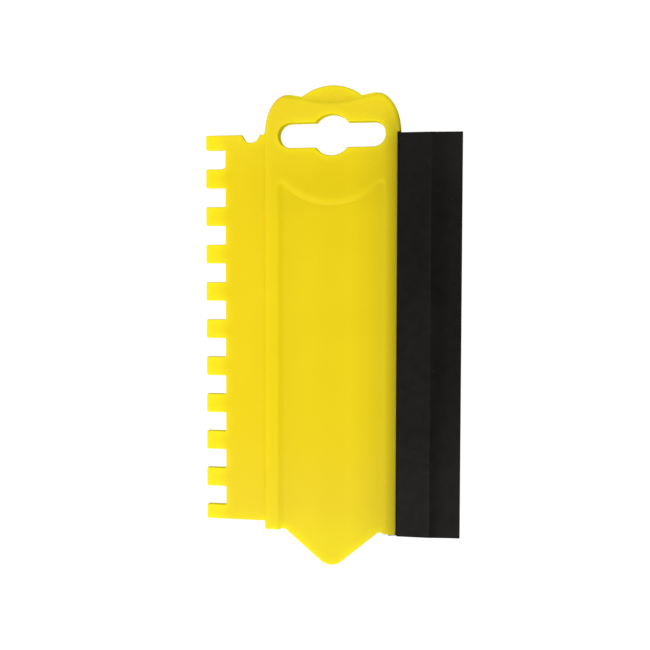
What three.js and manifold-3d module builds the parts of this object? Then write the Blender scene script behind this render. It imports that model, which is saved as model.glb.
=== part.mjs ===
// A hand tool for tiling: a yellow plastic spreader with a notched comb along one side
// and a black rubber squeegee blade along the other, with a hanging slot in its head.
//
// Lengths are in millimetres. X runs across the tool, from the comb to the blade, Y runs along
// it towards the hanging slot, and Z through its thickness. The outlines are drawn with X = 0 on
// the handle's middle line and Y = 0 at the foot of the ribs. Both faces of the tool are alike,
// so every piece is drawn about the mid-plane and the whole is moved to rest on Z = 0 at the end.

import * as THREE from 'three';
import { mergeVertices } from 'three/addons/utils/BufferGeometryUtils.js';
import Module from 'manifold-3d';

// Handle
const handleWidth = 43;
const handleThickness = 4.4;
const sideLength = 126;
const ribWidth = 5;
const panelThickness = 3.2;
const edgeRound = 1;

// Head
const lobeWidth = 7.2;
const lobeHeight = 12.1;
const headDrop = 0.6;
const browBridge = 3.8;
const domeRadius = 15.3;
const padHeight = 15.8;
const panelArcRise = 7;

// Hanging slot
const slotWall = 0.9;
const slotHeight = 7.8;
const slotBumpDiameter = 12.8;

// Pointed tip
const tipDrop = 10.6;
const tipAngle = THREE.MathUtils.degToRad(40);
const tipRadius = 5.2;

// Comb
const notchWidth = 6;
const notchDepth = 6.4;
const toothWidth = 6;
const leastEndTooth = 3;
const combReach = 19.4;
const combThickness = 2;
const combFoot = 2.6;
const scoopRadius = 2.5;
const scoopOffset = 4.7;

// Rubber blade, with a dovetail root
const bladeReach = 20;
const bladeThickness = 3.2;
const bladePastFoot = 0.4;
const bandWidth = 10.1;
const lipThickness = 1.1;
const lipHollow = 0.3;
const neckThickness = 1;
const rootThickness = 2;
const rootDepth = 2.4;

// Groove that holds the root, between two lips with a rounded nose
const grooveClearance = 0.3;
const noseSetback = 0.9;
const noseRound = 3.6;
const noseThickness = 3;

// How far pieces that fuse into one body run into each other
const overlap = 1;

const ROUND_STEPS = 16;
const BEVEL_STEPS = 3;

const halfWidth = handleWidth / 2;
const halfThickness = handleThickness / 2;
const panelHalfWidth = halfWidth - ribWidth;
const headY = sideLength - headDrop;
const noseX = halfWidth - noseSetback;
const bandX = noseX + grooveClearance;
const bladeX = noseX + bladeReach;
const grooveX = noseX - rootDepth - grooveClearance;
const bladeTop = sideLength - grooveClearance;
const combX = -halfWidth - combReach;
const past = handleWidth;

const wasm = await Module();
wasm.setup();

// A closed three.js geometry as a solid that can be joined and cut.
function solid(geometry) {
  const bare = geometry.clone();
  bare.deleteAttribute('normal');
  bare.deleteAttribute('uv');
  const merged = mergeVertices(bare);
  return new wasm.Manifold(new wasm.Mesh({
    numProp: 3,
    vertProperties: new Float32Array(merged.attributes.position.array),
    triVerts: new Uint32Array(merged.index.array),
  }));
}

function geometryOf(manifold) {
  const mesh = manifold.getMesh();
  const geometry = new THREE.BufferGeometry();
  geometry.setAttribute('position', new THREE.BufferAttribute(mesh.vertProperties, 3));
  geometry.setIndex(new THREE.BufferAttribute(mesh.triVerts, 1));
  geometry.computeVertexNormals();
  return geometry;
}

// An XY outline as a plate about the mid-plane, its edges rounded by the radius given.
function plate(outline, thickness, round = 0) {
  const geometry = new THREE.ExtrudeGeometry(outline, {
    depth: thickness - 2 * round,
    curveSegments: ROUND_STEPS,
    bevelEnabled: round > 0,
    bevelThickness: round,
    bevelSize: round,
    bevelOffset: -round,
    bevelSegments: BEVEL_STEPS,
  });
  return solid(geometry.translate(0, 0, round - thickness / 2));
}

// An XZ profile as a bar along Y.
function bar(profile, fromY, toY) {
  const geometry = new THREE.ExtrudeGeometry(profile, {
    depth: toY - fromY,
    curveSegments: ROUND_STEPS,
    bevelEnabled: false,
  });
  return solid(geometry.rotateX(Math.PI / 2).translate(0, toY, 0));
}

// Ribs and head in one outline: straight sides, a quarter ellipse over each corner, and a low
// brow between them. The panel's opening runs up between the ribs and ends in an arc that sags
// to its lowest point on the middle line.
function handleOutline() {
  const lobeX = halfWidth - lobeWidth;
  const lobeY = sideLength + lobeHeight;
  const browY = headY + slotBumpDiameter / 2 + browBridge;
  const arcRadius = (panelHalfWidth ** 2 + panelArcRise ** 2) / (2 * panelArcRise);
  const arcY = headY - slotBumpDiameter / 2 - padHeight + arcRadius;
  const arcEnd = Math.acos(panelHalfWidth / arcRadius);
  const outline = new THREE.Shape();
  outline.moveTo(halfWidth, 0);
  outline.lineTo(halfWidth, sideLength);
  outline.absellipse(lobeX, sideLength, lobeWidth, lobeHeight, 0, Math.PI / 2);
  outline.bezierCurveTo(lobeX * 0.8, lobeY, lobeX * 0.4, browY, 0, browY);
  outline.bezierCurveTo(-lobeX * 0.4, browY, -lobeX * 0.8, lobeY, -lobeX, lobeY);
  outline.absellipse(-lobeX, sideLength, lobeWidth, lobeHeight, Math.PI / 2, Math.PI);
  outline.lineTo(-halfWidth, 0);
  outline.lineTo(-panelHalfWidth, 0);
  outline.absarc(0, arcY, arcRadius, Math.PI + arcEnd, 2 * Math.PI - arcEnd);
  outline.lineTo(panelHalfWidth, 0);
  return outline;
}

// The thin panel between the ribs, which runs on past their foot as a blunt point.
function panelOutline() {
  const side = panelHalfWidth + overlap;
  const pointY = -tipDrop - tipRadius * (1 / Math.cos(tipAngle) - 1);
  const top = headY - slotBumpDiameter / 2 - overlap;
  const outline = new THREE.Shape();
  outline.moveTo(side, pointY + side * Math.tan(tipAngle));
  outline.lineTo(side, top);
  outline.lineTo(-side, top);
  outline.lineTo(-side, pointY + side * Math.tan(tipAngle));
  outline.absarc(0, tipRadius - tipDrop, tipRadius, 1.5 * Math.PI - tipAngle, 1.5 * Math.PI + tipAngle);
  return outline;
}

// The low dome over the brow, a thin segment of a disc about the head's centre.
function domeOutline() {
  const rise = Math.asin((slotBumpDiameter + browBridge) / 2 / domeRadius);
  const outline = new THREE.Shape();
  outline.absarc(0, headY, domeRadius, rise, Math.PI - rise);
  return outline;
}

// The comb: as many square notches as its length takes, with two equal end teeth, and a
// half-round scoop in its upper edge.
function combOutline() {
  const inner = -halfWidth + overlap;
  const rootX = combX + notchDepth;
  const top = sideLength;
  const pitch = notchWidth + toothWidth;
  const notchCount = Math.floor((top - combFoot - 2 * leastEndTooth + toothWidth) / pitch);
  const endToothWidth = (top - combFoot - notchCount * pitch + toothWidth) / 2;
  const outline = new THREE.Shape();
  outline.moveTo(inner, combFoot);
  outline.lineTo(inner, top);
  outline.absarc(-halfWidth - scoopOffset, top, scoopRadius, 0, Math.PI, true);
  outline.lineTo(combX, top);
  for (let notch = 0; notch < notchCount; notch += 1) {
    const upper = top - endToothWidth - notch * pitch;
    outline.lineTo(combX, upper);
    outline.lineTo(rootX, upper);
    outline.lineTo(rootX, upper - notchWidth);
    outline.lineTo(combX, upper - notchWidth);
  }
  outline.lineTo(combX, combFoot);
  return outline;
}

// The hanging slot: a long slot with round ends and a round bump in its middle. A wall parts its
// end from the groove.
function hangingSlot() {
  const endX = grooveX - slotWall - slotHeight / 2;
  const long = new THREE.Shape();
  long.absarc(endX, headY, slotHeight / 2, -Math.PI / 2, Math.PI / 2);
  long.absarc(-endX, headY, slotHeight / 2, Math.PI / 2, 1.5 * Math.PI);
  const bump = new THREE.Shape();
  bump.absarc(0, headY, slotBumpDiameter / 2, 0, 2 * Math.PI);
  return plate(long, 2 * handleThickness).add(plate(bump, 2 * handleThickness));
}

// What is taken off the blade side so that both lips of the groove end in a rounded nose.
function noseCut() {
  const half = noseThickness / 2;
  const outside = new THREE.Shape();
  outside.moveTo(past, -past);
  outside.lineTo(past, past);
  outside.lineTo(noseX - noseRound, past);
  outside.lineTo(noseX - noseRound, halfThickness);
  outside.absellipse(noseX - noseRound, half, noseRound, halfThickness - half, Math.PI / 2, 0, true);
  outside.absellipse(noseX - noseRound, -half, noseRound, halfThickness - half, 0, -Math.PI / 2, true);
  outside.lineTo(noseX - noseRound, -past);
  return bar(outside, -past, sideLength);
}

// The dovetail root, drawn larger by the clearance where it is the groove that is cut.
function rootProfile(clearance, endX) {
  const neck = neckThickness / 2 + clearance;
  const foot = rootThickness / 2 + clearance;
  const footX = grooveX + grooveClearance - clearance;
  const profile = new THREE.Shape();
  profile.moveTo(endX, -neck);
  profile.lineTo(endX, neck);
  profile.lineTo(noseX, neck);
  profile.lineTo(footX, foot);
  profile.lineTo(footX, -foot);
  profile.lineTo(noseX, -neck);
  return profile;
}

// The part of the blade outside the groove: a flat band, then a hollow lip that thins to its edge.
function bladeProfile() {
  const half = bladeThickness / 2;
  const lip = lipThickness / 2;
  const creaseX = bandX + bandWidth;
  const bendX = (creaseX + bladeX) / 2;
  const bend = (half + lip) / 2 - lipHollow;
  const profile = new THREE.Shape();
  profile.moveTo(bandX, -half);
  profile.lineTo(creaseX, -half);
  profile.quadraticCurveTo(bendX, -bend, bladeX, -lip);
  profile.lineTo(bladeX, lip);
  profile.quadraticCurveTo(bendX, bend, creaseX, half);
  profile.lineTo(bandX, half);
  return profile;
}

function spreaderBody() {
  const groove = bar(rootProfile(grooveClearance, past), -past, sideLength);
  return plate(handleOutline(), handleThickness, edgeRound)
    .subtract(noseCut())
    .add(plate(panelOutline(), panelThickness))
    .add(plate(domeOutline(), panelThickness))
    .add(plate(combOutline(), combThickness))
    .subtract(hangingSlot())
    .subtract(groove);
}

function squeegeeBlade() {
  return bar(rootProfile(0, bandX + overlap), -bladePastFoot, bladeTop)
    .add(bar(bladeProfile(), -bladePastFoot, bladeTop));
}

const yellowPlastic = new THREE.MeshStandardMaterial({ color: 0xf4da22, roughness: 0.45, metalness: 0 });
const blackRubber = new THREE.MeshStandardMaterial({ color: 0x201e1c, roughness: 0.8, metalness: 0 });

const body = new THREE.Mesh(geometryOf(spreaderBody()), yellowPlastic);
body.name = 'spreader_body';

const blade = new THREE.Mesh(geometryOf(squeegeeBlade()), blackRubber);
blade.name = 'squeegee_blade';

// The tool lies on one face, with the origin under the middle of its outline.
const tool = new THREE.Group();
tool.add(body, blade);
tool.position.set(-(combX + bladeX) / 2, -(headY + domeRadius - tipDrop) / 2, halfThickness);

export default tool;
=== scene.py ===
"""Looks for a notched spreader: a yellow moulded body and its black rubber squeegee blade.

Sizes are in millimetres, and metres() turns them into the frame's own unit. Outlines are drawn
with x = 0 on the handle's middle line, y = 0 at the foot of the ribs and z = 0 on the mid-plane,
which is a mirror plane, because both faces of the tool are alike.
"""
import functools
import math

import bpy
import numpy as np
from mathutils import Matrix, Vector, geometry


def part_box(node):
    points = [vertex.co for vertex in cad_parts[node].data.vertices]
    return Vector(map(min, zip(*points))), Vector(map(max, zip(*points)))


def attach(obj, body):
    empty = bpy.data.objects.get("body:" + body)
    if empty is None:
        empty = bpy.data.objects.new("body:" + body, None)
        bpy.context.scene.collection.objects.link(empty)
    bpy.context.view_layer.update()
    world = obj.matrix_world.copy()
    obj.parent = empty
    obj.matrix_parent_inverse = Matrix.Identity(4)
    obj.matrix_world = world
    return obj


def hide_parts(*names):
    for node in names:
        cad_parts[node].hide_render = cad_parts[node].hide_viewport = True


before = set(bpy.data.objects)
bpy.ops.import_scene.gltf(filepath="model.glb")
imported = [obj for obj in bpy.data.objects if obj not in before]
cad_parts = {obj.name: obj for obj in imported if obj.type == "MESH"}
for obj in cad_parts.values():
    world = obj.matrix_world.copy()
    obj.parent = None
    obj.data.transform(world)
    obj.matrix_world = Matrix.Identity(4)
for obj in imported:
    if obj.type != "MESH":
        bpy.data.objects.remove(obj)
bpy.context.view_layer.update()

MM = 0.001
body_low, body_high = (np.array(corner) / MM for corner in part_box("spreader_body"))
blade_low, blade_high = (np.array(corner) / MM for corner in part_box("squeegee_blade"))

# Handle
HALF_WIDTH = 21.5
HALF_THICKNESS = (body_high[2] - body_low[2]) / 2
RIB_WIDTH = 5.4
PANEL_HALF_THICKNESS = 1.6
OVERLAP = 3.0

# Head, with the hanging slot in its middle
LOBE_WIDTH = 7.2
LOBE_HEIGHT = 12.1
SLOT_END = 17.0
SLOT_HEIGHT = 7.8
SLOT_EASE = 0.4
BUMP_RADIUS = 6.4
BROW_BRIDGE = 4.25
BROW_PULL = (0.8, 0.4)
DOME_RADIUS = 15.3
PAD_HEIGHT = 15.25
PANEL_ARC_RISE = 6.8
HORN = 2.2

# Pointed tip
TIP_ANGLE = math.radians(40)
TIP_RADIUS = 5.2

# Comb
COMB_HALF_THICKNESS = 1.0
COMB_FOOT = 2.6
NOTCH_COUNT = 10
NOTCH_WIDTH = 6.0
NOTCH_DEPTH = 6.4
TOOTH_WIDTH = 6.0
NOTCH_CORNER = 0.45
SCOOP_RADIUS = 2.5
SCOOP_OFFSET = 4.7
SCOOP_FLARE = 0.9
WEB = 0.65
WORN_CORNER = 1.2
WORN_CORNER_INDEX = 3

# Blade side: the groove's two lips and the rubber between them
NOSE_SETBACK = 0.9
NOSE_HALF = 1.5
NOSE_ROUND = 3.6
FOOT_CORNER = 1.0
FOOT_EDGE = 0.4
FOOT_WEB = 0.45
GROOVE_CLEARANCE = 0.3
NECK_HALF = 0.5
ROOT_HALF = 1.0
ROOT_DEPTH = 2.4
BLADE_PAST_FOOT = 0.4
BAND_WIDTH = 10.1
LIP_HALF = 0.55
LIP_HOLLOW = 0.3
ROOT_ROUND = 0.15
BAND_ROUND = 0.25
LIP_ROUND = 0.2
BLADE_END_ROUND = 0.15

# Places in the frame
AXIS_X = body_high[0] - HALF_WIDTH
FOOT_Y = blade_low[1] + BLADE_PAST_FOOT
MID_Z = (body_low[2] + body_high[2]) / 2
PLACE = np.array([AXIS_X, FOOT_Y, MID_Z])

NOSE_X = HALF_WIDTH - NOSE_SETBACK
HEAD_Y = body_high[1] - FOOT_Y - DOME_RADIUS
SIDE_LENGTH = blade_high[1] - FOOT_Y + GROOVE_CLEARANCE
TIP_Y = body_low[1] - FOOT_Y
COMB_X = body_low[0] - AXIS_X
BAND_X = NOSE_X + GROOVE_CLEARANCE
CREASE_X = BAND_X + BAND_WIDTH
LIP_X = blade_high[0] - AXIS_X

# Zones of the finishes are in millimetres: across the tool from its middle line, or along it from
# the ribs' foot. A reach is a range of distances from a line. Each of them runs from its first
# end to its second. A glow, shade or bloom is how much of the other colour is mixed in at most.
# Every glow is painted light and every shade painted shade. On the rubber, the bloom in patches is
# grey bloom, and what is mixed in towards the foot, at the top and on the ridge before the crease
# is painted light.

# Yellow plastic. Its lighter tone at the head and its tone at the foot are painted light. The
# pale colour is for painted glow and highlights, the dark one for painted shade.
YELLOW = (0.762, 0.583, 0.0025)
YELLOW_DEEP = (0.749, 0.571, 0.002)
YELLOW_HEAD_PAINTED_LIGHT = (0.800, 0.613, 0.0125)
YELLOW_FOOT_PAINTED_LIGHT = (0.752, 0.576, 0.0145)
YELLOW_PAINTED_GLOW = (0.88, 0.78, 0.006)
YELLOW_SHADED = (0.24, 0.185, 0.002)
HEAD_ALONG = (112, 130)
FOOT_ALONG = (42, -2)
TIP_ALONG = (12, -6)
TIP_GLOW = 0.28

# Painted glow, a paler colour where light would leak out of thin edges
EDGE_GLOW_WIDTH = 3.2
EDGE_GLOW = 0.52
THICK_GAP = 0.4
ROOTS_X = COMB_X + 11
ROOTS_REACH = (4, 8)
ROOTS_GLOW = 0.5
TEETH_ACROSS = (COMB_X + 3, COMB_X + 8)
TEETH_GLOW = 0.5
LOBE_ACROSS = (-15, -9)
LOBE_ALONG = (122, 128)
LOBE_GLOW = 0.35

# Painted highlight just inside the handle's outline, and painted shade in the crease just outside
# it, in millimetres inwards
CREST_RISE = (0.0, 0.9)
CREST_FALL = (1.2, 3.2)
PAINTED_CREST_LIGHT = 0.1
CREASE_RISE = (-2.2, 0.0)
CREASE_FALL = (0.0, 0.9)
PAINTED_CREASE_SHADE = 0.03

# Painted soft shades
BLADE_SIDE_ACROSS = (6, 17)
BLADE_SIDE_SHADE = 0.29
NOSE_ACROSS = (16.5, NOSE_X)
NOSE_SHADE = 0.42
SHOULDER_ALONG = (122, 140)
MIDDLE_X = 1
MIDDLE_REACH = (0, 13)
MIDDLE_SHADE = 0.068
PAD_Y = 108.5
PAD_REACH = (0, 10)
PAD_SHADE = 0.06
PAD_ACROSS = (-20, -14)
UPPER_LEFT = (-30, -24)
UPPER_RIGHT = (-12, -4)
UPPER_ALONG = (92, 106)
UPPER_SHADE = 0.045
PANEL_LEFT = (-17, -16.5)
PANEL_RIGHT = (-16.5, -4)
PANEL_FOOT = (-2, 8)
PANEL_TOP = (103, 108)
PANEL_SHADE = 0.075
WALL_STEEPNESS = (0.2, 0.8)
WALL_GAP = (0.7, 1.2)
WALL_SHADE = 0.4

# Yellow plastic's grain and gloss
MOTTLE_SPREAD = (0.35, 0.65)
GRAIN_DEPTH = 0.000012
SCRATCH_DEPTH = 0.000006
PLASTIC_ROUGHNESS = (0.38, 0.52)
PLASTIC_SPECULAR = (0.12, 0.0)
PLASTIC_SUBSURFACE_RADIUS = (1.6, 1.2, 0.3)

# Black rubber, with a painted shade on its lip, and painted light towards its foot, at its top and
# on the ridge before the crease
RUBBER_BLACK = (0.0036, 0.0031, 0.0026)
RUBBER_BLOOM_AND_LIGHT = (0.0115, 0.0098, 0.0088)
RUBBER_LIP_SHADE = (0.0020, 0.0017, 0.0013)
RUBBER_DUST = (0.016, 0.0155, 0.015)
BLOOM_SPREAD = (0.4, 0.7)
BLOOM = 0.2
CREASE_ACROSS = (CREASE_X, CREASE_X + 0.3)
LIP_ACROSS = (CREASE_X + 1, LIP_X)
LIP_SHADES = (1.25, 0.1)
FOOT_LIGHT_ALONG = (60, -12)
FOOT_PAINTED_LIGHT = 0.65
PAST_CREASE = (CREASE_X + 0.3, CREASE_X + 3.8)
PAST_CREASE_LIGHT = 0.22
TOP_LIGHT_ALONG = (95, 128)
TOP_PAINTED_LIGHT = (0.08, 0.28)
TOP_EDGE_PAINTED_LIGHT = 0.35
RIDGE_ACROSS = (CREASE_X - 1.1, CREASE_X - 0.1)
RIDGE_PAINTED_LIGHT = 0.22
DUST_SPREAD = (0.72, 0.8)
RUBBER_GRAIN_DEPTH = 0.00002
RUBBER_ROUGHNESS = (0.6, 0.75)
LIP_MATT = (0.4, 1.2)
RUBBER_SPECULAR = (0.11, 0.09)

# Noise: where it is at its most varied, and its scale on each axis where it is drawn out
NOISE_SPREAD = (0.3, 0.7)
ALONG_THE_TOOL = (1, 0.03, 1)
ALONG_THE_BLADE = (1, 0.05, 1)

# Stage and light, in metres. A lamp has its azimuth and elevation in degrees and its power in watts.
FLOOR_HALF = 15.0
FLOOR_Z = -0.0001
FLOOR_GREY = 0.1
FLOOR_GLOW = 0.95
WHITE = (1, 1, 1, 1)
WORLD_STRENGTH = 0.66
LAMP_SIZE = 0.9
LAMP_DISTANCE = 1.2
KEY_LAMP = (190, 55, 4)
FOOT_LAMP = (265, 42, 8.5)

# Camera: degrees, and millimetres in the frame, but metres for its near clip
CAMERA_SENSOR = 36
CAMERA_LENS = 57.72
CAMERA_CLIP_START = 0.01
CAMERA_YAW = 10.34
CAMERA_PITCH = 2.98
CAMERA_ROLL = 0.11
CAMERA_AIM = (-2.53, 0.70, 0)
CAMERA_DISTANCE = 332.2

# How finely the surface is drawn: points on each curve, and lengths in millimetres
LOBE_COUNT = 19
BROW_COUNT = 13
PANEL_ARC_COUNT = 33
BEND_COUNT = 7
FOOT_CORNER_COUNT = 5
FOOT_EDGE_COUNT = 4
APEX_COUNT = 17
DOME_COUNT = 41
SCOOP_COUNT = 15
SLOT_COUNT = 21
CORNER_COUNT = 4
RUBBER_CORNER_COUNT = 6
RIM_COUNT = 5
LIP_COUNT = 14
RING_COUNT = 5
SHARP_ANGLE = math.radians(35)
MITRE_LIMIT = 0.6
NEAR = 0.01
WELD = 1e-5
TINY = 1e-12
STEP = 2.0
GRID_STEP = 1.4

# Widths of the steps from the handle down to the comb, the panel and the dome
COMB_SLOPE = 0.5
RIB_SLOPE = 1.4
ARC_SLOPE = 1.9
BROW_SLOPE = 1.4

# Rounded edges of the moulding: how wide each is, and how far it drops
SHOULDER_EDGE = (0.3, 0.3)
LOBE_EDGE = (1.3, 1.1)
FOOT_EDGE_ROUND = (0.9, 0.9)
THIN_EDGE = (0.6, 0.5)
COMB_EDGE = (0.3, 0.25)

# Fillet between two plates of the moulding
FILLET = 0.6
FILLET_RINGS = (0.1, 0.22, 0.4, 0.7, 1.1)


# ---- Outlines -------------------------------------------------------------------------------


def closed(outline):
    """The outline's points with the first one again at the end."""
    return np.vstack([outline, outline[:1]])


def arc(centre, radii, first, last, count):
    """Points on an ellipse between two angles in degrees: centre plus radii times cosine and sine."""
    turn = np.radians(np.linspace(first, last, count))
    return np.array(centre) + np.stack([np.cos(turn), np.sin(turn)], 1) * np.array(radii)


def bezier(corners, count):
    """Points on the cubic curve that the four control corners pull."""
    t = np.linspace(0, 1, count)[:, None]
    a, b, c, d = (np.array(corner) for corner in corners)
    return a * (1 - t) ** 3 + 3 * b * t * (1 - t) ** 2 + 3 * c * t ** 2 * (1 - t) + d * t ** 3


def mirrored(points):
    """The same run on the other side of the middle line, walked the other way."""
    return np.array(points)[::-1] * [-1, 1]


def rounded(corners, radii, count=CORNER_COUNT):
    """A closed outline whose every corner is an arc of its radius, tangent to both its sides."""
    corners = np.array(corners, float)
    into = corners - np.roll(corners, 1, 0)
    into /= np.linalg.norm(into, axis=1)[:, None]
    out = np.roll(into, -1, 0)
    turn = np.arctan2(into[:, 0] * out[:, 1] - into[:, 1] * out[:, 0], (into * out).sum(1))
    side = np.sign(turn)[:, None] * np.stack([-into[:, 1], into[:, 0]], 1)
    start = corners - into * (radii * np.tan(np.abs(turn) / 2))[:, None]
    centre = start + side * radii[:, None]
    angle = turn[:, None] * np.linspace(0, 1, count)
    arm = (start - centre)[:, None, :]
    turned = np.stack([
        arm[..., 0] * np.cos(angle) - arm[..., 1] * np.sin(angle),
        arm[..., 0] * np.sin(angle) + arm[..., 1] * np.cos(angle),
    ], 2)
    return (centre[:, None, :] + turned).reshape(-1, 2)


def divided(points, step=STEP):
    """The same open line with its long stretches split evenly into parts about step long."""
    points = np.array(points, float)
    span = np.diff(points, axis=0)
    count = np.maximum(1, np.round(np.linalg.norm(span, axis=1) / step)).astype(int)
    index = np.repeat(np.arange(len(span)), count)
    share = (np.arange(count.sum()) - (np.cumsum(count) - count)[index]) / count[index]
    return np.vstack([points[index] + span[index] * share[:, None], points[-1:]])


def quarter_round(share):
    """Drop of a rounded edge: none at its inner end (0), vertical at the edge itself (1)."""
    return 1 - np.sqrt(1 - share ** 2)


def soft_step(share):
    """Drop of a step down to the next plate: an S, level at both ends."""
    return share ** 2 * (3 - 2 * share)


def falling_step(share):
    """Drop of a step that grows steeper, as a parabola, down to a crease."""
    return share ** 2


# How steeply each profile's fillet runs out over the plate beside it
FILLET_SLOPES = {quarter_round: 2.0, falling_step: 2.0, soft_step: 0.5}


def handle_runs():
    """Ribs and head as one outline, counter-clockwise, in runs of (points, width of the edge's
    rounding, how far it drops, its profile). Each run ends where the next begins."""
    lobe_x = HALF_WIDTH - LOBE_WIDTH
    lobe_y = SIDE_LENGTH + LOBE_HEIGHT
    brow_y = HEAD_Y + BUMP_RADIUS + BROW_BRIDGE
    inner = HALF_WIDTH - RIB_WIDTH
    arc_radius = (inner ** 2 + PANEL_ARC_RISE ** 2) / (2 * PANEL_ARC_RISE)
    arc_y = HEAD_Y - BUMP_RADIUS - PAD_HEIGHT + arc_radius
    arc_end = math.degrees(math.acos(inner / arc_radius))
    horn_y = arc_y - arc_radius * math.sin(math.radians(arc_end))
    lobe = arc((lobe_x, SIDE_LENGTH), (LOBE_WIDTH, LOBE_HEIGHT), 0, 90, LOBE_COUNT)
    outer_pull, inner_pull = (lobe_x * pull for pull in BROW_PULL)
    brow_corners = [(lobe_x, lobe_y), (outer_pull, lobe_y), (inner_pull, brow_y), (0, brow_y)]
    brow = bezier(brow_corners, BROW_COUNT)
    panel_arc = arc((0, arc_y), (arc_radius, arc_radius), 180 + arc_end, 360 - arc_end, PANEL_ARC_COUNT)
    panel_arc = panel_arc[2:-2]
    horn_corners = [(-inner, horn_y - HORN), (-inner, horn_y), (-inner, horn_y), panel_arc[0]]
    horn = bezier(horn_corners, BEND_COUNT)

    def foot(inner_x, outer_x):
        """A rib's foot from its inner to its outer side, with a quarter round at both corners."""
        way = np.sign(outer_x - inner_x)
        inner_middle = (inner_x + FOOT_CORNER * way, FOOT_CORNER)
        outer_middle = (outer_x - FOOT_EDGE * way, FOOT_EDGE)
        return np.vstack([
            arc(inner_middle, (FOOT_CORNER * way, FOOT_CORNER), 180, 270, FOOT_CORNER_COUNT),
            arc(outer_middle, (FOOT_EDGE * way, FOOT_EDGE), 270, 360, FOOT_EDGE_COUNT),
        ])

    to_nose = HALF_THICKNESS - NOSE_HALF
    to_panel = HALF_THICKNESS - PANEL_HALF_THICKNESS
    to_comb = HALF_THICKNESS - COMB_HALF_THICKNESS
    return [
        ([(NOSE_X, FOOT_EDGE), (NOSE_X, SIDE_LENGTH)], NOSE_ROUND, to_nose, quarter_round),
        ([(NOSE_X, SIDE_LENGTH), (HALF_WIDTH, SIDE_LENGTH)], *SHOULDER_EDGE, quarter_round),
        (lobe, *LOBE_EDGE, quarter_round),
        (np.vstack([brow, mirrored(brow)[1:]]), BROW_SLOPE, to_panel, soft_step),
        (mirrored(lobe), *LOBE_EDGE, quarter_round),
        ([(-HALF_WIDTH, SIDE_LENGTH), (-HALF_WIDTH, FOOT_EDGE)], COMB_SLOPE, to_comb, quarter_round),
        (foot(-inner, -HALF_WIDTH)[::-1], *FOOT_EDGE_ROUND, quarter_round),
        (np.vstack([[(-inner, FOOT_CORNER)], horn]), RIB_SLOPE, to_panel, soft_step),
        (panel_arc, ARC_SLOPE, to_panel, falling_step),
        (np.vstack([mirrored(horn), [(inner, FOOT_CORNER)]]), RIB_SLOPE, to_panel, soft_step),
        (foot(inner, NOSE_X), *FOOT_EDGE_ROUND, quarter_round),
    ]


def panel_runs():
    """The thin panel, hidden under ribs and head on three sides, and the blunt point it ends in.
    The point's flanks level off just above the ribs' feet."""
    side = HALF_WIDTH - RIB_WIDTH + OVERLAP
    top = HEAD_Y - BUMP_RADIUS - OVERLAP
    point_y = TIP_Y - TIP_RADIUS * (1 / math.cos(TIP_ANGLE) - 1)
    bend_x = (FOOT_WEB - point_y) / math.tan(TIP_ANGLE)
    bend = np.array((bend_x, FOOT_WEB))
    along = np.array((1, math.tan(TIP_ANGLE)))
    level_off = bezier([bend - along, bend, bend, bend + (1, 0)], BEND_COUNT)
    angle = math.degrees(TIP_ANGLE)
    centre = (0, TIP_Y + TIP_RADIUS)
    apex = arc(centre, (TIP_RADIUS, TIP_RADIUS), 270 - angle, 270 + angle, APEX_COUNT)
    flanks = np.vstack([[(-side, FOOT_WEB)], mirrored(level_off), apex, level_off, [(side, FOOT_WEB)]])
    cover = [(side, FOOT_WEB), (side, top), (-side, top), (-side, FOOT_WEB)]
    return [(cover, *THIN_EDGE, quarter_round), (flanks, *THIN_EDGE, quarter_round)]


def dome_runs():
    """The thin dome over the brow: a disc's segment about the head's middle, with a hidden chord."""
    rise = math.degrees(math.asin((BUMP_RADIUS + BROW_BRIDGE / 2) / DOME_RADIUS))
    edge = arc((0, HEAD_Y), (DOME_RADIUS, DOME_RADIUS), rise, 180 - rise, DOME_COUNT)
    return [(edge, *THIN_EDGE, quarter_round), ([edge[-1], edge[0]], *THIN_EDGE, quarter_round)]


def comb_runs():
    """The comb, hidden under the left rib on one side: notches spread evenly between two equal
    end teeth, a scoop with flared rims, and a small web in the corner beside the handle. The
    first notch's lower corner is rounder than the others."""
    inner = -HALF_WIDTH + OVERLAP
    top = SIDE_LENGTH
    root = COMB_X + NOTCH_DEPTH
    pitch = NOTCH_WIDTH + TOOTH_WIDTH
    end_tooth = (top - COMB_FOOT - NOTCH_COUNT * pitch + TOOTH_WIDTH) / 2
    upper = top - end_tooth - pitch * np.arange(NOTCH_COUNT)[:, None]
    notch_x = np.array([COMB_X, root, root, COMB_X])
    notch_y = upper - NOTCH_WIDTH * np.array([0, 0, 1, 1])
    notches = np.stack([np.broadcast_to(notch_x, notch_y.shape), notch_y], 2).reshape(-1, 2)
    free = np.vstack([[(COMB_X, top)], notches, [(COMB_X, COMB_FOOT)]])
    hidden = [(inner, COMB_FOOT), (inner, top)]
    corners = np.vstack([free, hidden])
    radii = np.full(len(corners), NOTCH_CORNER)
    radii[WORN_CORNER_INDEX] = WORN_CORNER
    teeth = rounded(corners, radii)[:-2 * CORNER_COUNT]
    web = [(inner, top + WEB), (-HALF_WIDTH, top + WEB), (-HALF_WIDTH - WEB, top)]
    flare = SCOOP_FLARE / 2
    scoop_x = -HALF_WIDTH - SCOOP_OFFSET
    right_rim = (scoop_x + SCOOP_RADIUS + flare, top)
    scoop = arc((scoop_x, top - flare), (SCOOP_RADIUS, SCOOP_RADIUS - flare), 345, 195, SCOOP_COUNT)
    left_rim = (scoop_x - SCOOP_RADIUS - flare, top)
    outline = np.vstack([hidden[:1], web, [right_rim], scoop, [left_rim], teeth, hidden[:1]])
    return [(outline, *COMB_EDGE, quarter_round)]


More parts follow.
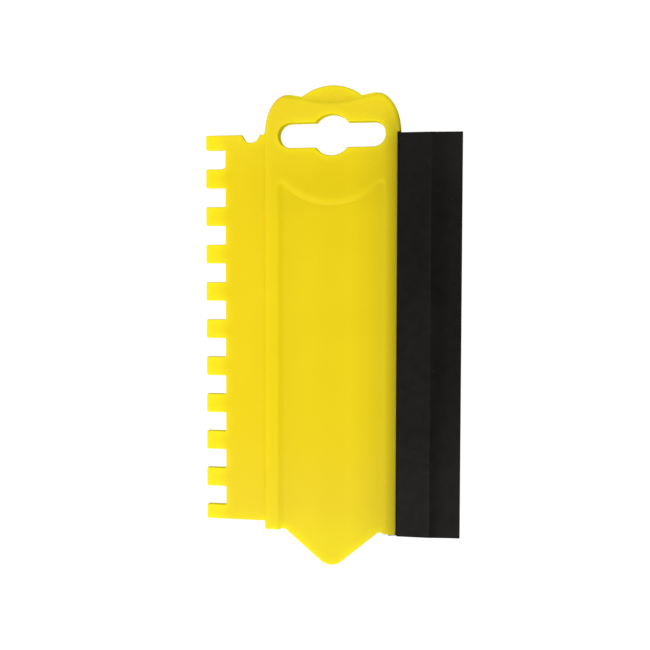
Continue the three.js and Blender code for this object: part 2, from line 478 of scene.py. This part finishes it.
def slot_outline():
    """The hanging slot, counter-clockwise: round ends, straight arms, and a round bump between."""
    half = SLOT_HEIGHT / 2
    end = SLOT_END - half
    reach = math.degrees(math.asin(half / BUMP_RADIUS))
    sweeps = [
        (end, half, -90, 90),
        (0, BUMP_RADIUS, reach, 180 - reach),
        (-end, half, 90, 270),
        (0, BUMP_RADIUS, 180 + reach, 360 - reach),
    ]
    arcs = [arc((x, HEAD_Y), (r, r), first, last, SLOT_COUNT) for x, r, first, last in sweeps]
    return divided(closed(np.vstack(arcs)))


# ---- The moulding's height over its outline -------------------------------------------------


def distance(points, run):
    """Distance of every point from an open line: for each stretch in turn, to its nearest spot."""
    nearest = np.full(len(points), np.inf)
    for start, end in zip(run[:-1], run[1:]):
        span = end - start
        away = points - start
        share = np.clip(away @ span / max(span @ span, TINY), 0, 1)
        nearest = np.minimum(nearest, np.linalg.norm(away - share[:, None] * span, axis=1))
    return nearest


def inside(points, outline):
    """True where a ray towards +x crosses the closed outline an odd number of times."""
    a, b = outline[:-1], outline[1:]
    x, y = points[:, :1], points[:, 1:]
    spans = (a[:, 1] > y) != (b[:, 1] > y)
    rise = np.where(b[:, 1] == a[:, 1], 1, b[:, 1] - a[:, 1])
    cross = a[:, 0] + (y - a[:, 1]) * (b[:, 0] - a[:, 0]) / rise
    return (spans & (x < cross)).sum(1) % 2 == 1


def make_plate(half, runs):
    """A plate about the mid-plane: half its thickness, its runs and its closed outline."""
    runs = [(divided(points), *edge) for points, *edge in runs]
    outline = np.vstack([points[:-1] for points, *_ in runs])
    widths = np.concatenate([np.full(len(points) - 1, width) for points, width, *_ in runs])
    return {"half": half, "runs": runs, "outline": outline, "widths": widths}


def plate_height(plate, points):
    """Half the thickness less each edge's drop, which follows the edge's profile across its width.
    Outside the outline the height falls away in a straight slope."""
    within = inside(points, closed(plate["outline"]))
    height = np.full(len(points), plate["half"])
    slope = np.full(len(points), -np.inf)
    for run, width, drop, profile in plate["runs"]:
        gap = distance(points, run)
        share = np.clip(1 - gap / width, 0, 1)
        height = np.minimum(height, plate["half"] - drop * profile(share))
        slope = np.maximum(slope, plate["half"] - drop - FILLET_SLOPES[profile] * gap)
    return np.where(within, height, slope)


def smooth_max(a, b):
    """The larger of two heights, with a fillet where they are nearly equal."""
    near = np.clip(1 - np.abs(a - b) / FILLET, 0, 1)
    return np.maximum(a, b) + near ** 2 * FILLET / 4


def body_height(plates, slot, points):
    """Height of the front face over the mid-plane: the plates' smooth maximum, eased at the slot."""
    height = plate_height(plates[0], points)
    for plate in plates[1:]:
        height = smooth_max(height, plate_height(plate, points))
    share = np.clip(1 - distance(points, slot) / SLOT_EASE, 0, 1)
    return height - SLOT_EASE * quarter_round(share)


def inward(outline):
    """Each corner's inward normal, made longer at a sharp corner so that offset sides stay parallel."""
    side = np.roll(outline, -1, 0) - outline
    normal = np.stack([-side[:, 1], side[:, 0]], 1)
    normal /= np.linalg.norm(normal, axis=1)[:, None]
    both = normal + np.roll(normal, 1, 0)
    both /= np.linalg.norm(both, axis=1)[:, None]
    return both / np.clip((both * normal).sum(1), MITRE_LIMIT, 1)[:, None]


def mesh_lines(plates, slot):
    """Closed lines that the surface's edges follow: every outline, rings across its rounded edge,
    and rings across the fillet at its foot."""
    rings = 1 - np.cos(np.linspace(0, math.pi / 2, RING_COUNT + 1))
    lines = [
        plate["outline"] + inward(plate["outline"]) * (plate["widths"] * ring)[:, None]
        for plate in plates for ring in rings
    ]
    handle = plates[0]["outline"]
    lines += [handle - inward(handle) * ring for ring in FILLET_RINGS]
    return lines + [slot[:-1] - inward(slot[:-1]) * SLOT_EASE * ring for ring in rings]


def fill_points(plates, slot, lines):
    """A square grid over the moulding, kept clear of the lines that the surface follows."""
    low, high = body_low[:2] - PLACE[:2], body_high[:2] - PLACE[:2]
    x, y = np.meshgrid(*(np.arange(a, b, GRID_STEP) for a, b in zip(low, high)))
    points = np.stack([x.ravel(), y.ravel()], 1)
    clear = np.min([distance(points, closed(line)) for line in lines], axis=0) > GRID_STEP / 2
    return points[clear & covered(plates, slot, points)]


def covered(plates, slot, points):
    """True on the moulding: inside any plate and outside the slot."""
    on_plate = np.any([inside(points, closed(plate["outline"])) for plate in plates], axis=0)
    return on_plate & ~inside(points, slot)


def triangulated(plates, slot):
    """Flat triangles over the moulding that follow every line, and their corners."""
    lines = mesh_lines(plates, slot)
    counts = np.array([len(line) for line in lines])
    first = np.repeat(np.cumsum(counts) - counts, counts)
    index = np.arange(counts.sum())
    following = np.where(index - first == np.repeat(counts, counts) - 1, first, index + 1)
    points = np.vstack([*lines, fill_points(plates, slot, lines)])
    edges = np.stack([index, following], 1).tolist()
    spots = [Vector(point) for point in points.tolist()]
    found, _, triangles = geometry.delaunay_2d_cdt(spots, edges, [], 0, WELD, False)[:3]
    corners = np.array([tuple(corner) for corner in found])
    triangles = np.array(triangles)
    middle = corners[triangles].mean(1)
    triangles = triangles[covered(plates, slot, middle)]
    used, packed = np.unique(triangles, return_inverse=True)
    return corners[used], packed.reshape(-1, 3)


def free_edges(triangles):
    """Edges that only one triangle has, each walked as its triangle walks it."""
    edges = np.vstack([triangles[:, [0, 1]], triangles[:, [1, 2]], triangles[:, [2, 0]]])
    key = np.sort(edges, axis=1)
    _, where, count = np.unique(key, axis=0, return_index=True, return_counts=True)
    return edges[where[count == 1]]


# ---- Pieces ---------------------------------------------------------------------------------


def metres(points):
    """Millimetres on the tool as places in the frame, in metres."""
    return (points + PLACE) * MM


def add_piece(name, points, faces):
    """A named piece in the scene from its points in millimetres and its faces."""
    mesh = bpy.data.meshes.new(name)
    mesh.from_pydata(metres(points).tolist(), [], faces)
    piece = bpy.data.objects.new(name, mesh)
    bpy.context.scene.collection.objects.link(piece)
    return piece


def prism(name, profile, from_y, to_y, insets):
    """An xz profile carried along y. Near both ends it shrinks by the insets, whose steps along y
    are a quarter circle's, so that the end's rim is rounded."""
    rim = insets.max()
    steps = rim - np.sqrt(rim ** 2 - (rim - insets) ** 2)
    y = np.concatenate([from_y + steps, (to_y - steps)[::-1]])
    shrink = np.concatenate([insets, insets[::-1]])
    ring = profile + inward(profile) * shrink[:, None, None]
    points = np.stack([ring[..., 0], np.broadcast_to(y[:, None], ring.shape[:2]), ring[..., 1]], 2)
    size = len(profile)
    here = np.arange(len(y) - 1)[:, None] * size + np.arange(size)
    beside = np.roll(here, -1, 1)
    sides = np.stack([here, here + size, beside + size, beside], 2).reshape(-1, 4).tolist()
    ends = [list(range(size)), list(range(len(y) * size - 1, (len(y) - 1) * size - 1, -1))]
    return add_piece(name, points.reshape(-1, 3), sides + ends)


def apply_modifiers(piece):
    """Puts what the piece's modifiers make into its mesh."""
    evaluated = piece.evaluated_get(bpy.context.evaluated_depsgraph_get())
    made = bpy.data.meshes.new_from_object(evaluated)
    piece.modifiers.clear()
    piece.data = made


def cut_groove(piece):
    """Takes the dovetail groove out of the nose, open at the foot and closed at the shoulder."""
    neck, root = NECK_HALF + GROOVE_CLEARANCE, ROOT_HALF + GROOVE_CLEARANCE
    deep, clear = NOSE_X - ROOT_DEPTH - GROOVE_CLEARANCE, NOSE_X + HALF_WIDTH
    lower = np.array([(deep, -root), (NOSE_X, -neck), (clear, -neck)])
    profile = np.vstack([lower, lower[::-1] * [1, -1]])
    cutter = prism("groove", profile, -HALF_WIDTH, SIDE_LENGTH, np.zeros(1))
    cut = piece.modifiers.new("groove", "BOOLEAN")
    cut.operation = "DIFFERENCE"
    cut.solver = "EXACT"
    cut.object = cutter
    apply_modifiers(piece)
    bpy.data.objects.remove(cutter)


def finish_surface(piece):
    """Smooth shading that stays crisp across every edge sharper than SHARP_ANGLE."""
    piece.data.shade_smooth()
    piece.data.set_sharp_from_angle(angle=SHARP_ANGLE)
    weighted = piece.modifiers.new("weighted normals", "WEIGHTED_NORMAL")
    weighted.keep_sharp = True


def mark_gaps(piece, lines, thick, outline):
    """Stores how far each point is from the nearest free edge, and how far inside the handle's
    outline it is, in millimetres, for the painted glow, highlight and shades. The thick handle's
    edges would let less light through, so for the painted glow they count as THICK_GAP further off."""
    mesh = piece.data
    places = np.empty(len(mesh.vertices) * 3)
    mesh.vertices.foreach_get("co", places)
    places = places.reshape(-1, 3)[:, :2] / MM - PLACE[:2]
    edge_gaps = (distance(places, line) + THICK_GAP * more for line, more in zip(lines, thick))
    marks = {
        "edge_gap": functools.reduce(np.minimum, edge_gaps),
        "step_gap": distance(places, outline) * np.where(inside(places, outline), 1, -1),
    }
    for name, gap in marks.items():
        mesh.attributes.new(name, "FLOAT", "POINT").data.foreach_set("value", gap)


def make_body():
    """The moulding: flat triangles over its outline, lifted to the height function for the front,
    mirrored for the back, and joined by a wall along every free edge."""
    plates = [
        make_plate(HALF_THICKNESS, handle_runs()),
        make_plate(PANEL_HALF_THICKNESS, panel_runs()),
        make_plate(PANEL_HALF_THICKNESS, dome_runs()),
        make_plate(COMB_HALF_THICKNESS, comb_runs()),
    ]
    slot = slot_outline()
    corners, triangles = triangulated(plates, slot)
    height = body_height(plates, slot, corners)
    front = np.column_stack([corners, height])
    back = np.column_stack([corners, -height])
    count = len(corners)
    rim = free_edges(triangles)
    walls = np.column_stack([rim[:, 1], rim[:, 0], rim[:, 0] + count, rim[:, 1] + count])
    faces = triangles.tolist() + (triangles[:, ::-1] + count).tolist() + walls.tolist()
    piece = add_piece("spreader_body_shell", np.vstack([front, back]), faces)
    cut_groove(piece)
    free = corners[rim]
    at_blade = (free[:, :, 0] > NOSE_X - NOSE_SETBACK).all(1) & (free[:, :, 1] < SIDE_LENGTH).all(1)
    free = free[~at_blade]
    handle = closed(plates[0]["outline"])
    thick = np.any([distance(free.mean(1), line) < NEAR for line in (handle, slot)], axis=0)
    mark_gaps(piece, free, thick, handle)
    finish_surface(piece)
    return piece


def blade_profile():
    """Root, neck, flat band and lip as one closed xz outline. The lip's face is a quadratic curve
    that sags below the straight line from crease to edge; round corners are quarter circles."""
    half = (blade_high[2] - blade_low[2]) / 2
    t = np.linspace(0, 1, LIP_COUNT)[:, None]
    bend = np.array([(CREASE_X + LIP_X) / 2, (half + LIP_HALF) / 2 - LIP_HOLLOW])
    crease, edge = np.array([CREASE_X, half]), np.array([LIP_X, LIP_HALF])
    lip_shade = crease * (1 - t) ** 2 + 2 * bend * t * (1 - t) + edge * t ** 2

    def corner(x, z, radius, first, last):
        """A quarter circle that touches the lines at x and z from inside."""
        side = 1 if first == 180 else -1
        centre = (x + side * radius, z - radius)
        return arc(centre, (radius, radius), first, last, RUBBER_CORNER_COUNT)

    upper = np.vstack([
        corner(NOSE_X - ROOT_DEPTH, ROOT_HALF, ROOT_ROUND, 180, 90),
        [(NOSE_X, NECK_HALF), (BAND_X, NECK_HALF)],
        corner(BAND_X, half, BAND_ROUND, 180, 90),
        lip_shade[:-1],
        corner(LIP_X, LIP_HALF, LIP_ROUND, 90, 0),
    ])
    return np.vstack([upper * [1, -1], upper[::-1]])


def make_blade():
    """The rubber blade, cut square at both ends with a barely rounded rim."""
    rim = BLADE_END_ROUND * (1 - np.sin(np.linspace(0, math.pi / 2, RIM_COUNT)))
    low, high = blade_low[1] - FOOT_Y, blade_high[1] - FOOT_Y
    piece = prism("squeegee_blade_rubber", blade_profile(), low, high, rim)
    finish_surface(piece)
    return piece


# ---- Finishes -------------------------------------------------------------------------------


class Finish:
    """A node material that is built up from the piece's own coordinates."""

    def __init__(self, name):
        self.material = bpy.data.materials.new(name)
        self.material.use_nodes = True
        self.nodes = self.material.node_tree.nodes
        self.links = self.material.node_tree.links
        self.shader = self.nodes["Principled BSDF"]
        self.place = self.nodes.new("ShaderNodeTexCoord").outputs["Object"]

    def noise(self, scale, detail=2.0, stretch=(1, 1, 1)):
        """Noise between 0 and 1 with about scale features a metre, drawn out by stretch."""
        mapping = self.nodes.new("ShaderNodeMapping")
        mapping.inputs["Scale"].default_value = stretch
        self.links.new(self.place, mapping.inputs["Vector"])
        noise = self.nodes.new("ShaderNodeTexNoise")
        noise.inputs["Scale"].default_value = scale
        noise.inputs["Detail"].default_value = detail
        self.links.new(mapping.outputs["Vector"], noise.inputs["Vector"])
        return noise.outputs["Fac"]

    def part(self, vector, letter):
        """One of a vector's three numbers."""
        split = self.nodes.new("ShaderNodeSeparateXYZ")
        self.links.new(vector, split.inputs["Vector"])
        return split.outputs[letter]

    def steepness(self):
        """0 on a level face and 1 on an upright wall."""
        normal = self.nodes.new("ShaderNodeTexCoord").outputs["Normal"]
        return self.math("SUBTRACT", 1.0, self.math("ABSOLUTE", self.part(normal, "Z")))

    def attribute(self, name):
        """A number that the mesh holds for each of its points."""
        node = self.nodes.new("ShaderNodeAttribute")
        node.attribute_name = name
        return node.outputs["Fac"]

    def ranged(self, value, from_low, from_high, to_low=0.0, to_high=1.0, smooth=True):
        """The value carried from one range to another and held at its ends."""
        node = self.nodes.new("ShaderNodeMapRange")
        node.interpolation_type = "SMOOTHSTEP" if smooth else "LINEAR"
        names = ("From Min", "From Max", "To Min", "To Max")
        for socket, number in zip(names, (from_low, from_high, to_low, to_high)):
            node.inputs[socket].default_value = number
        self.links.new(value, node.inputs["Value"])
        return node.outputs["Result"]

    def ramp(self, letter, zone, start=0.0, end=1.0, smooth=True):
        """From start to end over a zone of the tool, whose two ends are in millimetres."""
        ends = (PLACE["XYZ".index(letter)] + np.array(zone)) * MM
        return self.ranged(self.part(self.place, letter), *ends, start, end, smooth)

    def around(self, letter, middle, reach, start, end):
        """From start to end over a reach of distances from a middle, to both its sides."""
        place = (PLACE["XYZ".index(letter)] + middle) * MM
        gap = self.math("ABSOLUTE", self.math("SUBTRACT", self.part(self.place, letter), place))
        return self.ranged(gap, *(length * MM for length in reach), start, end)

    def less(self, share, least=0.0):
        """From 1 where the share is 0 down to the least where it is 1."""
        return self.ranged(share, 0.0, 1.0, 1.0, least)

    def math(self, operation, *values):
        """A sum, product or the like of numbers and other nodes' results."""
        node = self.nodes.new("ShaderNodeMath")
        node.operation = operation
        for socket, value in zip(node.inputs, values):
            if isinstance(value, (int, float)):
                socket.default_value = value
            else:
                self.links.new(value, socket)
        return node.outputs["Value"]

    def product(self, *values):
        """All the values multiplied."""
        return functools.reduce(functools.partial(self.math, "MULTIPLY"), values)

    def total(self, *values):
        """All the values added up."""
        return functools.reduce(functools.partial(self.math, "ADD"), values)

    def blended(self, share, first, second):
        """From the first colour to the second by the share."""
        node = self.nodes.new("ShaderNodeMix")
        node.data_type = "RGBA"
        self.links.new(share, node.inputs["Factor"])
        for socket, colour in (("A", first), ("B", second)):
            sockets = [i for i in node.inputs if i.name == socket and i.type == "RGBA"]
            if isinstance(colour, tuple):
                sockets[0].default_value = (*colour, 1)
            else:
                self.links.new(colour, sockets[0])
        return next(o for o in node.outputs if o.type == "RGBA")

    def bump(self, height, depth, under=None):
        """Relief that many metres deep."""
        node = self.nodes.new("ShaderNodeBump")
        node.inputs["Distance"].default_value = depth
        self.links.new(height, node.inputs["Height"])
        if under:
            self.links.new(under, node.inputs["Normal"])
        return node.outputs["Normal"]

    def feed(self, socket, value):
        """Ties a result to the shader."""
        self.links.new(value, self.shader.inputs[socket])

    def set(self, **numbers):
        """Gives the shader fixed numbers, by their sockets' names."""
        for socket, number in numbers.items():
            self.shader.inputs[socket.replace("_", " ")].default_value = number


def yellow_glow(finish, colour):
    """The colour made paler by a painted glow where light would leak out of thin edges, most of all at
    the tip and on the teeth, and by a painted highlight along the handle's outline, just inside it."""
    lobe = finish.product(finish.ramp("Y", LOBE_ALONG), finish.ramp("X", LOBE_ACROSS, 1.0, 0.0))
    step = finish.attribute("step_gap")
    tip = finish.ramp("Y", TIP_ALONG, 0.0, TIP_GLOW)
    teeth = finish.ramp("X", TEETH_ACROSS, TEETH_GLOW, 0.0)
    edge = finish.product(
        finish.ranged(finish.attribute("edge_gap"), 0.0, EDGE_GLOW_WIDTH, EDGE_GLOW, 0.0),
        finish.less(lobe, LOBE_GLOW),
        finish.around("X", ROOTS_X, ROOTS_REACH, ROOTS_GLOW, 1.0),
    )
    crest_highlight = finish.product(
        finish.ranged(step, *CREST_RISE),
        finish.ranged(step, *CREST_FALL, PAINTED_CREST_LIGHT, 0.0),
        finish.less(lobe),
    )
    colour = finish.blended(tip, colour, YELLOW_PAINTED_GLOW)
    colour = finish.blended(edge, finish.blended(teeth, colour, YELLOW_PAINTED_GLOW), YELLOW_PAINTED_GLOW)
    return finish.blended(crest_highlight, colour, YELLOW_PAINTED_GLOW)


def yellow_shades(finish):
    """How much painted shade each place gets: in the crease beside the handle, beside the blade, down
    the middle, on the pad under the slot, at the upper left, in the panel and on inner walls."""
    step = finish.attribute("step_gap")
    blade_side = finish.ramp("X", BLADE_SIDE_ACROSS, smooth=False)
    nose = finish.ramp("X", NOSE_ACROSS, smooth=False)
    return [
        finish.product(
            finish.ranged(step, *CREASE_RISE, 0.0, PAINTED_CREASE_SHADE),
            finish.ranged(step, *CREASE_FALL, 1.0, 0.0),
            finish.ramp("Y", HEAD_ALONG, 1.0, 0.0),
        ),
        finish.product(
            finish.total(finish.product(blade_side, BLADE_SIDE_SHADE), finish.product(nose, NOSE_SHADE)),
            finish.ramp("Y", SHOULDER_ALONG, 1.0, 0.0),
        ),
        finish.around("X", MIDDLE_X, MIDDLE_REACH, MIDDLE_SHADE, 0.0),
        finish.product(
            finish.around("Y", PAD_Y, PAD_REACH, PAD_SHADE, 0.0),
            finish.ramp("X", PAD_ACROSS),
        ),
        finish.product(
            finish.ramp("X", UPPER_LEFT),
            finish.ramp("X", UPPER_RIGHT, 1.0, 0.0),
            finish.ramp("Y", UPPER_ALONG, 0.0, UPPER_SHADE),
        ),
        finish.product(
            finish.ramp("X", PANEL_LEFT),
            finish.ramp("X", PANEL_RIGHT, 1.0, 0.0),
            finish.ramp("Y", PANEL_TOP, PANEL_SHADE, 0.0),
            finish.ramp("Y", PANEL_FOOT),
        ),
        finish.product(
            finish.ranged(finish.steepness(), *WALL_STEEPNESS),
            finish.ranged(finish.attribute("edge_gap"), *WALL_GAP, WALL_SHADE, 0.0),
        ),
    ]


def yellow_plastic():
    """Glossy injection-moulded plastic: faint flow mottling, a painted glow at thin edges, painted light
    towards the head and the foot and painted soft shades, with a fine eggshell grain and hair
    scratches along the tool."""
    finish = Finish("yellow_plastic")
    mottle = finish.ranged(finish.noise(scale=70, detail=3), *MOTTLE_SPREAD)
    colour = finish.blended(mottle, YELLOW_DEEP, YELLOW)
    # Painted light: the tone towards the head and towards the foot.
    colour = finish.blended(finish.ramp("Y", HEAD_ALONG), colour, YELLOW_HEAD_PAINTED_LIGHT)
    colour = finish.blended(finish.ramp("Y", FOOT_ALONG), colour, YELLOW_FOOT_PAINTED_LIGHT)
    colour = yellow_glow(finish, colour)
    for shade in yellow_shades(finish):
        colour = finish.blended(shade, colour, YELLOW_SHADED)
    finish.feed("Base Color", colour)
    grain = finish.bump(finish.noise(scale=2600, detail=2), GRAIN_DEPTH)
    hairs = finish.noise(scale=900, detail=4, stretch=ALONG_THE_TOOL)
    finish.feed("Normal", finish.bump(hairs, SCRATCH_DEPTH, grain))
    gloss = finish.noise(scale=240, detail=4)
    finish.feed("Roughness", finish.ranged(gloss, *NOISE_SPREAD, *PLASTIC_ROUGHNESS))
    specular = finish.ranged(finish.steepness(), *WALL_STEEPNESS, *PLASTIC_SPECULAR)
    finish.feed("Specular IOR Level", specular)
    finish.set(Subsurface_Weight=0.15, Subsurface_Scale=0.001, IOR=1.46)
    finish.set(Subsurface_Radius=PLASTIC_SUBSURFACE_RADIUS)
    return finish.material


def black_rubber():
    """Matt black rubber: a mould-fresh fine grain, dust specks, grey bloom in patches, a painted
    shade on the lip, and painted light towards the foot, at the top and on the ridge before the crease."""
    finish = Finish("black_rubber")
    past_crease = finish.ramp("X", CREASE_ACROSS)
    band = finish.less(past_crease)
    # Painted shade: the lip darkest just past the crease, less so towards its edge.
    lip_shade = finish.product(past_crease, finish.ramp("X", LIP_ACROSS, *LIP_SHADES))
    foot_on_lip = finish.product(past_crease, finish.ramp("X", PAST_CREASE, PAST_CREASE_LIGHT, 1.0))
    top = finish.total(
        finish.ramp("X", LIP_ACROSS, 0.0, TOP_EDGE_PAINTED_LIGHT),
        finish.ranged(past_crease, 0.0, 1.0, *TOP_PAINTED_LIGHT),
    )
    foot = finish.total(foot_on_lip, band)
    # Grey bloom in patches, plus painted light towards the foot, at the top and on the ridge before the
    # crease.
    bloom_and_light = finish.total(
        finish.ranged(finish.noise(scale=55, detail=4), *BLOOM_SPREAD, 0.0, BLOOM),
        finish.product(finish.ramp("Y", FOOT_LIGHT_ALONG, 0.0, FOOT_PAINTED_LIGHT), foot),
        finish.product(finish.ramp("Y", TOP_LIGHT_ALONG), top),
        finish.product(finish.ramp("X", RIDGE_ACROSS, 0.0, RIDGE_PAINTED_LIGHT), band),
    )
    dust = finish.ranged(finish.noise(scale=1500, detail=1), *DUST_SPREAD)
    colour = finish.blended(lip_shade, RUBBER_BLACK, RUBBER_LIP_SHADE)
    colour = finish.blended(bloom_and_light, colour, RUBBER_BLOOM_AND_LIGHT)
    finish.feed("Base Color", finish.blended(dust, colour, RUBBER_DUST))
    grain = finish.bump(finish.noise(scale=1800, detail=4), RUBBER_GRAIN_DEPTH)
    drag = finish.noise(scale=500, detail=3, stretch=ALONG_THE_BLADE)
    finish.feed("Normal", finish.bump(drag, RUBBER_GRAIN_DEPTH, grain))
    gloss = finish.noise(scale=300, detail=3)
    finish.feed("Roughness", finish.ranged(gloss, *NOISE_SPREAD, *RUBBER_ROUGHNESS))
    finish.feed("Specular IOR Level", finish.ranged(lip_shade, *LIP_MATT, *RUBBER_SPECULAR))
    finish.set(IOR=1.5)
    return finish.material


# ---- Stage, lights and camera ---------------------------------------------------------------


def add_floor():
    """A wide white floor that glows a little, as a light table does."""
    mesh = bpy.data.meshes.new("floor")
    x, y = FLOOR_HALF * np.array([(-1, -1), (1, -1), (1, 1), (-1, 1)]).T
    mesh.from_pydata(np.column_stack([x, y, np.full(4, FLOOR_Z)]).tolist(), [], [[0, 1, 2, 3]])
    floor = bpy.data.objects.new("floor", mesh)
    bpy.context.scene.collection.objects.link(floor)
    finish = Finish("floor_white")
    finish.set(Base_Color=(*[FLOOR_GREY] * 3, 1), Roughness=0.9, Specular_IOR_Level=0.0)
    finish.set(Emission_Color=WHITE, Emission_Strength=FLOOR_GLOW)
    mesh.materials.append(finish.material)


def add_area_light(name, azimuth, elevation, power):
    """A large square lamp on a circle about the tool, facing its middle."""
    light = bpy.data.lights.new(name, "AREA")
    light.size = LAMP_SIZE
    light.energy = power
    lamp = bpy.data.objects.new(name, light)
    a, e = math.radians(azimuth), math.radians(elevation)
    way = Vector((math.cos(a) * math.cos(e), math.sin(a) * math.cos(e), math.sin(e)))
    lamp.location = way * LAMP_DISTANCE
    lamp.rotation_euler = way.to_track_quat("Z", "Y").to_euler()
    bpy.context.scene.collection.objects.link(lamp)


def add_world():
    """Even white light from all around."""
    world = bpy.data.worlds.new("studio")
    world.use_nodes = True
    background = world.node_tree.nodes["Background"]
    background.inputs["Color"].default_value = WHITE
    background.inputs["Strength"].default_value = WORLD_STRENGTH
    bpy.context.scene.world = world


def add_camera():
    """Over the front face, a little to the blade's side and towards the head."""
    yaw, pitch, roll = (math.radians(angle) for angle in (CAMERA_YAW, CAMERA_PITCH, CAMERA_ROLL))
    back = Vector((math.sin(yaw) * math.cos(pitch), math.sin(pitch), math.cos(yaw) * math.cos(pitch)))
    right = Vector((0, 1, 0)).cross(back).normalized()
    turned = Matrix((right, back.cross(right), back)).transposed() @ Matrix.Rotation(roll, 3, "Z")
    data = bpy.data.cameras.new("camera")
    data.sensor_width = CAMERA_SENSOR
    data.lens = CAMERA_LENS
    data.clip_start = CAMERA_CLIP_START
    data.clip_end = 4 * FLOOR_HALF
    camera = bpy.data.objects.new("camera", data)
    aim = Vector(CAMERA_AIM) * MM
    camera.matrix_world = Matrix.Translation(aim + back * CAMERA_DISTANCE * MM) @ turned.to_4x4()
    bpy.context.scene.collection.objects.link(camera)
    bpy.context.scene.camera = camera


def add_to_tool(piece, material, body, node):
    """Gives the piece its finish and puts it in the place of its node."""
    piece.data.materials.clear()
    piece.data.materials.append(material)
    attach(piece, body)
    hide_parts(node)


add_camera()
add_to_tool(make_body(), yellow_plastic(), "spreader", "spreader_body")
add_to_tool(make_blade(), black_rubber(), "blade", "squeegee_blade")
add_floor()
add_world()
add_area_light("key_light", *KEY_LAMP)
add_area_light("foot_light", *FOOT_LAMP)
bpy.context.scene.view_settings.view_transform = "Standard"
